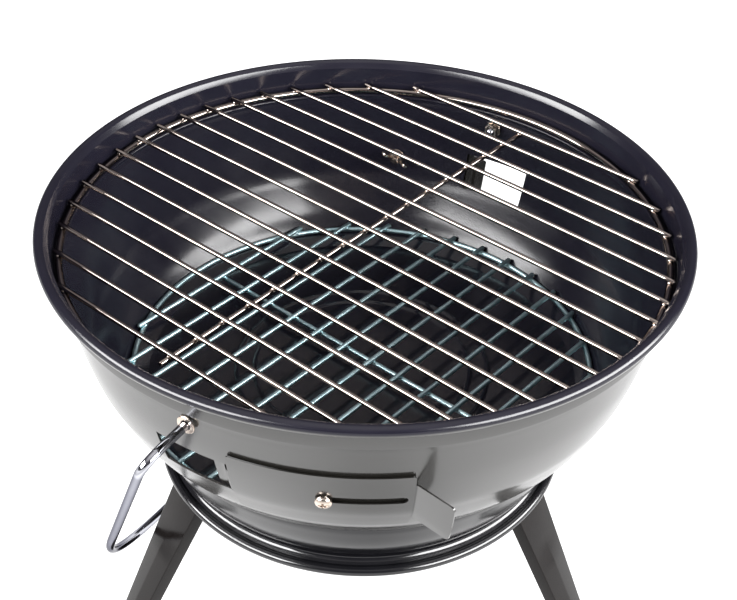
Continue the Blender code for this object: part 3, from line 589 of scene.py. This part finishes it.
def damperShape(s):
    # laid flat, the plate runs in u along the wall and in v up it. Its edges are top(u) and bottom(u),
    # the slot's are bolt height -+ w(u), and each column is filled between them in two strips.
    middle = float(wallRadius(s["ventHeight"]))
    left = radians(s["plate"][0] - s["bolt"]) * middle
    right = radians(s["plate"][1] - s["bolt"]) * middle
    slotEnd = radians(s["travel"]) * middle
    c, w, tip = s["corner"], s["slot"], right + s["tab"][2]
    soft, tongueTip, tongueSoft = s["tabCorner"], left - s["tongue"][0], s["tongueCorner"]
    bend = c * (1 - np.cos(np.linspace(0, np.pi / 2, 9)))
    small = soft * (1 - np.cos(np.linspace(0, np.pi / 2, 7)))
    slotBend = w * (1 - np.cos(np.linspace(0, np.pi, 17)))
    eps = 0.02 * mm
    notch = s["notch"][0]
    u = np.concatenate([tongueTip + np.linspace(0, 1, 4) * tongueSoft, [left - 7 * mm],
                        left - s["joggleStart"] - np.linspace(0, s["joggle"], 9),
                        [left - notch, left - notch + eps, left],
                        left + eps + bend, np.linspace(left + c + 1 * mm, -w - 1 * mm, 24),
                        -w + slotBend[:9], np.linspace(0.5 * mm, slotEnd - 0.5 * mm, 24),
                        slotEnd + slotBend[8:] - w, [slotEnd + w + 0.5 * mm],
                        np.linspace(slotEnd + w + 1.5 * mm, right - c - 0.6 * mm, 5),
                        right - eps - bend, [right], right + np.linspace(0.3, 3, 10) * mm,
                        np.linspace(right + 4.5 * mm, tip - 3 * mm, 8), tip - small])
    u = np.unique(np.round(u, 7))

    def edge(height, sign):
        # the plate's edge, rounded at its corners, then the tongue's and the tab's
        y = np.full_like(u, height)
        for corner, inwards in ((left, 1), (right, -1)):
            d = np.clip((u - corner) * inwards, 0, c)
            y = np.where((u > left) & (u < right), y - sign * (c - np.sqrt(c ** 2 - (c - d) ** 2)), y)
        tabEdge = s["tab"][1] if sign > 0 else s["tab"][0]
        d = np.clip(tip - u, 0, soft)
        tabEdge = tabEdge - sign * (soft - np.sqrt(soft ** 2 - (soft - d) ** 2))
        tongueCut = np.clip(tongueTip + tongueSoft - u, 0, tongueSoft)
        tongue = s["ventHeight"] + sign * (s["tongue"][1] - tongueCut)
        tongue = np.where(u > left - notch + eps / 2, tongue - sign * s["notch"][1], tongue)
        y = np.where(u <= left, tongue, y)
        return np.where(u >= right, tabEdge, y)

    pastEnd = u - np.clip(u, 0, slotEnd)
    gap = np.sqrt(np.maximum(w ** 2 - pastEnd ** 2, 0))
    gap = np.where((u < -w) | (u > slotEnd + w), 0.0, gap)
    strips = []
    share = np.linspace(0, 1, 13)[:, None]
    for sign in (1, -1):
        start = s["boltHeight"] + sign * gap
        end = edge(s["top"] if sign > 0 else s["bottom"], sign)
        strips.append(start[None] * (1 - share) + end[None] * share)
    return u, np.stack(strips), gap, left, right, middle


def bentToWall(s, u, height, lift, left, right, middle):
    # azimuth = bolt + u / middle at reach = wall radius + stand off + lift; left of the plate the
    # tongue sinks by a smooth step, and right of it the tab turns outwards on a small arc
    inwards = bowlSettings["sheet"] + s["standOff"] + s["thick"] + s["tongueGap"]
    share = np.clip((left - u - s["joggleStart"]) / s["joggle"], 0, 1)
    sink = inwards * share ** 2 * (3 - 2 * share)
    reach = wallRadius(height) + s["standOff"] + lift - sink
    onPlate = heading(s["bolt"] + np.degrees(u / middle)) * reach[..., None]
    end = s["bolt"] + np.degrees(right / middle)
    beyond = np.maximum(u - right, 0)
    bend = np.minimum(beyond / s["tabRound"], radians(s["tabBend"]))
    straight = np.maximum(beyond - radians(s["tabBend"]) * s["tabRound"], 0)
    across = (s["tabRound"] - lift) * np.sin(bend) + straight * np.cos(bend)
    out = s["tabRound"] - (s["tabRound"] - lift) * np.cos(bend) + straight * np.sin(bend)
    onTab = (heading(end) * (wallRadius(height) + s["standOff"] + out)[..., None]
             + heading(end + 90) * across[..., None])
    place = np.where((u > right)[..., None], onTab, onPlate)
    place[..., 2] = height
    return place


def damperPoints(s):
    # the two strips at lifts 0 and thick, and side walls along their edges, the slot and both ends
    u, strips, gap, left, right, middle = damperShape(s)
    rows, cols = strips.shape[1:]
    flatU = np.broadcast_to(u, strips.shape)
    faces = []
    for lift in (0.0, s["thick"]):
        faces.append(bentToWall(s, flatU, strips, np.full(strips.shape, lift), left, right, middle))
    points = np.stack(faces).reshape(-1, 3)
    size = rows * cols
    base = gridQuads(rows, cols, False, False)
    quads = []
    for layer in (0, 1):
        for strip in (0, 1):
            turn = base if layer == strip else base[:, ::-1]
            quads.append(turn + (layer * 2 + strip) * size)
    j = np.arange(cols - 1)
    for strip in (0, 1):
        for row, keep in ((rows - 1, np.ones(cols - 1, bool)), (0, (gap[:-1] > 0) | (gap[1:] > 0))):
            a = strip * size + row * cols + j[keep]
            b = a + 2 * size
            side = np.stack([a, a + 1, b + 1, b], axis=-1)
            quads.append(side if (strip == 0) == (row == 0) else side[:, ::-1])
        i = np.arange(rows - 1)
        for col in (0, cols - 1):
            a = strip * size + i * cols + col
            b = a + 2 * size
            side = np.stack([a, b, b + cols, a + cols], axis=-1)
            quads.append(side if (strip == 0) == (col == 0) else side[:, ::-1])
    return points, [np.vstack(quads)]


def makeDampers(s):
    # one plate turned to each place and slid, with its seams welded and its edges rounded
    points, groups = damperPoints(s)
    for place, turn in s["turns"].items():
        piece = makePiece("damper" + place.capitalize(), turnedBy(points, turn + s["slid"][place]), groups,
                          [enamelOutside], place + "_damper", ["damper_" + place], None, 30)
        weld = piece.modifiers.new("weld", "WELD")
        weld.merge_threshold = 0.000004
        edge = piece.modifiers.new("edge", "BEVEL")
        edge.width = s["edge"]
        edge.segments = 3
        edge.limit_method = "ANGLE"
        edge.angle_limit = radians(50)
        edge.harden_normals = True


makeDampers(damperSettings)
print("dampers made")


fastenerSettings = {
    "screw": {"shank": 2.0 * mm, "head": 4.3 * mm, "thick": 2.9 * mm, "lip": 0.5 * mm, "under": 2.6 * mm,
              "tip": 12.7 * mm, "cross": (2.1 * mm, 0.5 * mm, 1.5 * mm), "pitch": 0.8 * mm,
              "thread": 0.16 * mm},
    "washer": {"outer": 5.0 * mm, "inner": 2.4 * mm, "thick": 1.0 * mm},
    "bailWasher": {"outer": 5.0 * mm, "inner": 2.7 * mm, "thick": 1.0 * mm},
    "legWasher": {"outer": 6 * mm, "inner": 2.8 * mm, "thick": 1 * mm},
    "wingNut": {"base": 4.2 * mm, "top": 3.3 * mm, "bore": 2.3 * mm, "height": 5.2 * mm, "edge": 0.2 * mm,
                "turn": 64.0},
    "hexNut": {"corner": 4.6 * mm, "bore": 2.7 * mm, "height": 3.6 * mm},
    "legNut": {"corner": 4.8 * mm, "bore": 2.8 * mm, "height": 4 * mm},
    # how far each stands in from the wall, and out from it
    "insideWall": {"damperWasher": 0.8 * mm, "wingNut": 2.4 * mm, "bailWasher": 1.0 * mm,
                   "bailNut": 2.5 * mm},
    "outsideWall": 1.2 * mm, "legCircle": 78 * mm,
}


def standAt(points, origin, axis):
    # local +Z goes along axis, local Y stays level
    up = np.asarray(axis, float)
    up = up / np.linalg.norm(up)
    side = np.cross([0, 0, 1], up)
    side = side / np.linalg.norm(side)
    other = np.cross(side, up)
    return points @ np.stack([other, side, up]) + np.asarray(origin)


def turnedRing(profile, steps=48, radii=None):
    # a closed section turned about Z; radii(a, z) may cap the radius, as a nut's flats do
    angles = np.linspace(0, 2 * np.pi, steps, endpoint=False)
    points = turnedGrid(profile, angles)
    if radii is not None:
        r = np.hypot(points[..., 0], points[..., 1])
        limit = np.broadcast_to(radii(angles)[None, :], r.shape)
        shrink = np.where(r > limit, limit / r, 1.0)
        points[..., :2] *= shrink[..., None]
    flat = points.reshape(-1, 3)
    return flat, facingOut(flat, [gridQuads(len(profile), steps, True, True)])


def washerShape(s):
    # a flat ring with its four edges broken by e
    e = 0.2 * mm
    o, i, t = s["outer"], s["inner"], s["thick"]
    return turnedRing(np.array([(o - e, 0), (o, e), (o, t - e), (o - e, t), (i + e, t), (i, t - e), (i, e),
                                (i + e, 0)]), 64)


def hexNutShape(s):
    # a turned section whose radius is capped by the six flats, with a cone that cuts the corners
    apothem = s["corner"] * np.cos(np.pi / 6)

    def flats(angles):
        # apothem / cos of the angle from the nearest flat's middle
        return apothem / np.cos((angles % (np.pi / 3)) - np.pi / 6)

    c, b, h = s["corner"], s["bore"], s["height"]
    cut, chamfer, face = 0.5 * mm, 0.3 * mm, apothem - 0.1 * mm
    return turnedRing(np.array([(face, 0), (c, cut), (c, h - cut), (face, h), (b + chamfer, h),
                                (b, h - chamfer), (b, chamfer), (b + chamfer, 0)]), 96, flats)


def screwShape(s):
    # a shank with thread rings, r = shank - thread |sin(pi z / pitch)|, and a domed head; the cross
    # recess presses the head's face down by depth where |x| or |y| is under the slot's half width
    z = np.linspace(0.6 * mm, s["tip"] + 3.0 * mm, 90)
    r = s["shank"] - s["thread"] * np.abs(np.sin(np.pi * z / s["pitch"]))
    t = np.radians(np.linspace(2, 90, 16))
    seat = s["tip"] + s["under"]
    lip, rise = seat + s["lip"], s["thick"] - s["lip"]
    flat = np.array([(s["head"], seat), (s["head"], lip)])
    dome = np.stack([s["head"] * np.cos(t), lip + rise * np.sin(t)], axis=-1)
    neck = np.array([(s["shank"], seat - 0.02 * mm)])
    fine = np.linspace(0.95, 0.02, 26)[:, None] * s["head"] * 0.62
    domeTop = lip + rise * np.sqrt(1 - (fine / s["head"]) ** 2)
    outer = dome[dome[:, 0] > s["head"] * 0.6]
    profile = np.vstack([[(0.02 * mm, 0), (1.4 * mm, 0)], np.stack([r, z], axis=-1), neck, flat, outer,
                         np.concatenate([fine, domeTop], axis=1)])
    angles = np.linspace(0, 2 * np.pi, 96, endpoint=False)
    points = turnedGrid(profile, angles)
    reach, half, deep = s["cross"]
    x, y = np.abs(points[..., 0]), np.abs(points[..., 1])
    r = np.hypot(x, y)
    inCross = (np.minimum(x, y) < half) & (r < reach) & (points[..., 2] > seat + 1 * mm)
    drop = deep * np.clip((reach - r) / (reach * 0.35), 0, 1)
    points[..., 2] -= np.where(inCross, drop, 0)
    cols = len(angles)
    flatPoints = points.reshape(-1, 3)
    caps = np.stack([np.arange(cols)[::-1], (len(profile) - 1) * cols + np.arange(cols)])
    return flatPoints, facingOut(flatPoints, [gridQuads(len(profile), cols, False, True), caps])


def wingShape(side):
    # one ear: a rounded outline at seven depths, the outer ones drawn in to round its faces off
    outline = np.vstack([[(2.6, 0.5), (4.4, 0.8)], arcPoints((7.2, 6.4), 2.6, -60, 170, 22),
                         [(3.0, 4.8)]]) * mm
    middle = outline.mean(axis=0)
    depth = np.array([-0.9, -0.9, -0.8, 0, 0.8, 0.9, 0.9]) * mm
    size = np.array([0.45, 0.86, 0.97, 1.0, 0.97, 0.86, 0.45])[:, None, None]
    rings = middle + (outline - middle)[None] * size
    points = np.stack([side * rings[..., 0], np.broadcast_to(depth[:, None], rings.shape[:2]), rings[..., 1]],
                      axis=-1)
    cols = len(outline)
    flat = points.reshape(-1, 3)
    caps = np.stack([np.arange(cols)[::-1], 6 * cols + np.arange(cols)])
    return flat, facingOut(flat, [gridQuads(7, cols, False, True), caps])


def wingNutShape(s):
    # a hub turned from its section, and an ear on each side
    base, top, bore, height, e = (s[key] for key in ("base", "top", "bore", "height", "edge"))
    hub = turnedRing(np.array([(base - 1.5 * e, 0), (base, 1.5 * e), (base, 6 * e), (top + e, height - 2 * e),
                               (top - e, height), (bore + e, height), (bore, height - e), (bore, e),
                               (bore + e, 0)]), 64)
    points, groups = joined([hub, wingShape(-1), wingShape(1)])
    return turnedBy(points, s["turn"]), groups


def makeFasteners(s):
    # each stands at its wall point, offset along the outward axis: the wall's normal for a damper screw,
    # and the level pivot line for the bail's washers and nuts
    sheet, inside = bowlSettings["sheet"], s["insideWall"]
    boltHeight, bailHeight = damperSettings["boltHeight"], bailSettings["height"]
    slope = np.arctan2(wallRadius(boltHeight + 4 * mm) - wallRadius(boltHeight - 4 * mm), 8 * mm)
    screw, washer, bailWasher = screwShape(s["screw"]), washerShape(s["washer"]), washerShape(s["bailWasher"])
    wingNut, hexNut = wingNutShape(s["wingNut"]), hexNutShape(s["hexNut"])

    def fasten(name, shape, start, axis, body, node):
        # one plated piece, stood at its start along its axis
        makePiece(name, standAt(shape[0], start, axis), shape[1], [nickelSteel], body, [node],
                  None, 35)

    for place, turn in damperSettings["turns"].items():
        title = place.capitalize()
        level = heading(damperSettings["bolt"] + turn)
        outward = level * np.cos(slope) - np.array([0, 0, np.sin(slope)])
        start = level * wallRadius(boltHeight) + np.array([0, 0, boltHeight])
        fasten("damperScrew" + title, screw, start - outward * s["screw"]["tip"], outward, "grill",
               "damper_screw_" + place)
        fasten("damperWasher" + title, washer, start - outward * (sheet + inside["damperWasher"]), -outward,
               "grill", "damper_washer_" + place)
        fasten("wingNut" + title, wingNut, start - outward * (sheet + inside["wingNut"]), -outward,
               place + "_wing_nut", "wing_nut_" + place)
        outward = heading(bailSettings["azimuth"] + bailSettings["turns"][place])
        start = outward * wallRadius(bailHeight) + np.array([0, 0, bailHeight])
        fasten("bailWasherOuter" + title, bailWasher, start + outward * s["outsideWall"], outward, "grill",
               "bail_washer_outer_" + place)
        fasten("bailWasherInner" + title, bailWasher, start - outward * (sheet + inside["bailWasher"]),
               -outward, "grill", "bail_washer_inner_" + place)
        fasten("bailNut" + title, hexNut, start - outward * (sheet + inside["bailNut"]), -outward, "grill",
               "bail_nut_" + place)
    for side, azimuth in legSettings["azimuths"].items():
        middle = heading(azimuth) * s["legCircle"]
        for name, shape, node in (("legWasher", washerShape(s["legWasher"]), "leg_washer_"),
                                  ("legNut", hexNutShape(s["legNut"]), "leg_nut_")):
            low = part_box(node + side)[0]
            makePiece(name + side.capitalize(), shape[0] + middle + np.array([0, 0, low.z]), shape[1],
                      [zincedNut], "grill", [node + side], None, 35)


makeFasteners(fastenerSettings)
print("fasteners made")


stageSettings = {
    # glow, least, zone and fan paint a pool of light on the floor, full round the grill and fading away from
    # it
    "reach": 15.0, "cells": 160, "glow": 1.12, "least": 0.16, "zone": (0.37, 0.60), "fan": 0.22,
    # shade is a painted shadow on the floor's glow in front of the grill: centre x and y, spread across and
    # along, and its depth
    "shade": (0.02, -0.20, 0.10, 0.15, 0.8),
    "paper": {"dark": "#8a8a8a", "light": "#909090", "patch": 0.4, "rough": (0.8, 0.95), "smear": 0.3,
              "grain": 0.002, "height": 0.00001},
    "sky": ((0.0, (0.05, 0.05, 0.06, 1)), (0.62, (0.16, 0.15, 0.17, 1)), (1.0, (0.9, 0.88, 0.88, 1))),
    # name, azimuth and elevation from the bowl, size in metres, power in watts
    "softboxes": (("rightSoftbox", -24, 22, (2.7, 1.0), 165), ("leftSoftbox", -152, 24, (2.1, 0.9), 120)),
    "softboxAway": 2.0, "softboxAim": (0, 0, 0.2),
}


def floorGlow(s, x, y):
    # a light table with painted light: its glow is full inside the zone, a painted pool of light which fans
    # out backwards,
    #     # falling by 3t^2 - 2t^3 over its border to the least glow, less a painted round shadow of exp(-d^2)
    #     in front of the grill
    aside = np.maximum(np.abs(x) - s["fan"] * np.maximum(y, 0), 0)
    away = np.hypot(aside, np.where(y < 0, y, 0.3 * y))
    inner, outer = s["zone"]
    t = np.clip((away - inner) / (outer - inner), 0, 1)
    level = 1 - (1 - s["least"]) * t ** 2 * (3 - 2 * t)
    shadeX, shadeY, wide, deep, depth = s["shade"]
    return s["glow"] * level * (1 - depth * np.exp(-((x - shadeX) / wide) ** 2 - ((y - shadeY) / deep) ** 2))


def makeFloor(s):
    # a level grid, fine at the feet and coarse far away: x = reach (0.04 t + 0.96 t^5), t from -1 to 1
    t = np.linspace(-1, 1, s["cells"] + 1)
    across = s["reach"] * (0.04 * t + 0.96 * t ** 5)
    x, y = np.meshgrid(across, across)
    points = np.stack([x, y, np.zeros_like(x)], axis=-1).reshape(-1, 3)
    mesh = bpy.data.meshes.new("paleFloor")
    mesh.from_pydata(points.tolist(), [], gridQuads(len(t), len(t), False, False)[:, ::-1].tolist())
    mesh.attributes.new("glow", "FLOAT", "POINT").data.foreach_set("value", floorGlow(s, x, y).ravel())
    floor = bpy.data.objects.new("paleFloor", mesh)
    bpy.context.scene.collection.objects.link(floor)
    # matt paper whose emission is painted light: the glow attribute paints a pool of light round the grill
    # and a painted shadow in front of it
    paper, tree, shader, place = startMaterial("studioPaper", {"Specular IOR Level": 0.2,
                                                               "Emission Color": (1, 1, 1, 1)})
    finishSurface(tree, shader, place, s["paper"])
    glow = addNode(tree, "ShaderNodeAttribute", {"attribute_name": "glow"}, {})
    tree.links.new(glow.outputs["Fac"], shader.inputs["Emission Strength"])
    mesh.materials.append(paper)


def addSoftbox(name, place, aim, size, power):
    # a rectangle of light that faces its aim
    light = bpy.data.lights.new(name, "AREA")
    light.shape = "RECTANGLE"
    light.size, light.size_y = size
    light.energy = power
    lamp = bpy.data.objects.new(name, light)
    bpy.context.scene.collection.objects.link(lamp)
    lamp.location = place
    lamp.rotation_euler = (Vector(aim) - Vector(place)).to_track_quat("-Z", "Y").to_euler()


def makeSky(s):
    # a dim room that brightens towards the ceiling: the ramp runs over the height of the look direction
    world = bpy.data.worlds.new("studio")
    world.use_nodes = True
    tree = world.node_tree
    look = addNode(tree, "ShaderNodeTexCoord", {}, {})
    parts = addNode(tree, "ShaderNodeSeparateXYZ", {}, {"Vector": look.outputs["Generated"]})
    ramp = addNode(tree, "ShaderNodeValToRGB", {}, {"Fac": parts.outputs["Z"]})
    ramp.color_ramp.elements.new(s["sky"][1][0])
    for stop, (position, colour) in zip(ramp.color_ramp.elements, s["sky"]):
        stop.position = position
        stop.color = colour
    tree.links.new(ramp.outputs["Color"], tree.nodes["Background"].inputs["Color"])
    bpy.context.scene.world = world


makeFloor(stageSettings)
makeSky(stageSettings)
for name, azimuth, elevation, size, power in stageSettings["softboxes"]:
    out = heading(azimuth) * np.cos(radians(elevation)) + np.array([0, 0, np.sin(radians(elevation))])
    place = np.array(stageSettings["softboxAim"]) + stageSettings["softboxAway"] * out
    addSoftbox(name, place.tolist(), stageSettings["softboxAim"], size, power)

cameraSettings = {"place": (0, -0.6077, 0.6741), "aim": (0.0026, 0.0009, 0.213), "roll": 1.75, "focal": 65.1}
camera = bpy.data.cameras.new("camera")
camera.lens = cameraSettings["focal"]
camera.sensor_width = 36
camera.clip_start = 0.02
viewer = bpy.data.objects.new("camera", camera)
bpy.context.scene.collection.objects.link(viewer)
viewer.location = cameraSettings["place"]
aim = (Vector(cameraSettings["aim"]) - Vector(cameraSettings["place"])).to_track_quat("-Z", "Y")
roll = Matrix.Rotation(radians(cameraSettings["roll"]), 3, "Z")
viewer.rotation_euler = (aim.to_matrix() @ roll).to_euler()
bpy.context.scene.camera = viewer
bpy.context.scene.view_settings.view_transform = "Standard"
print("stage made")
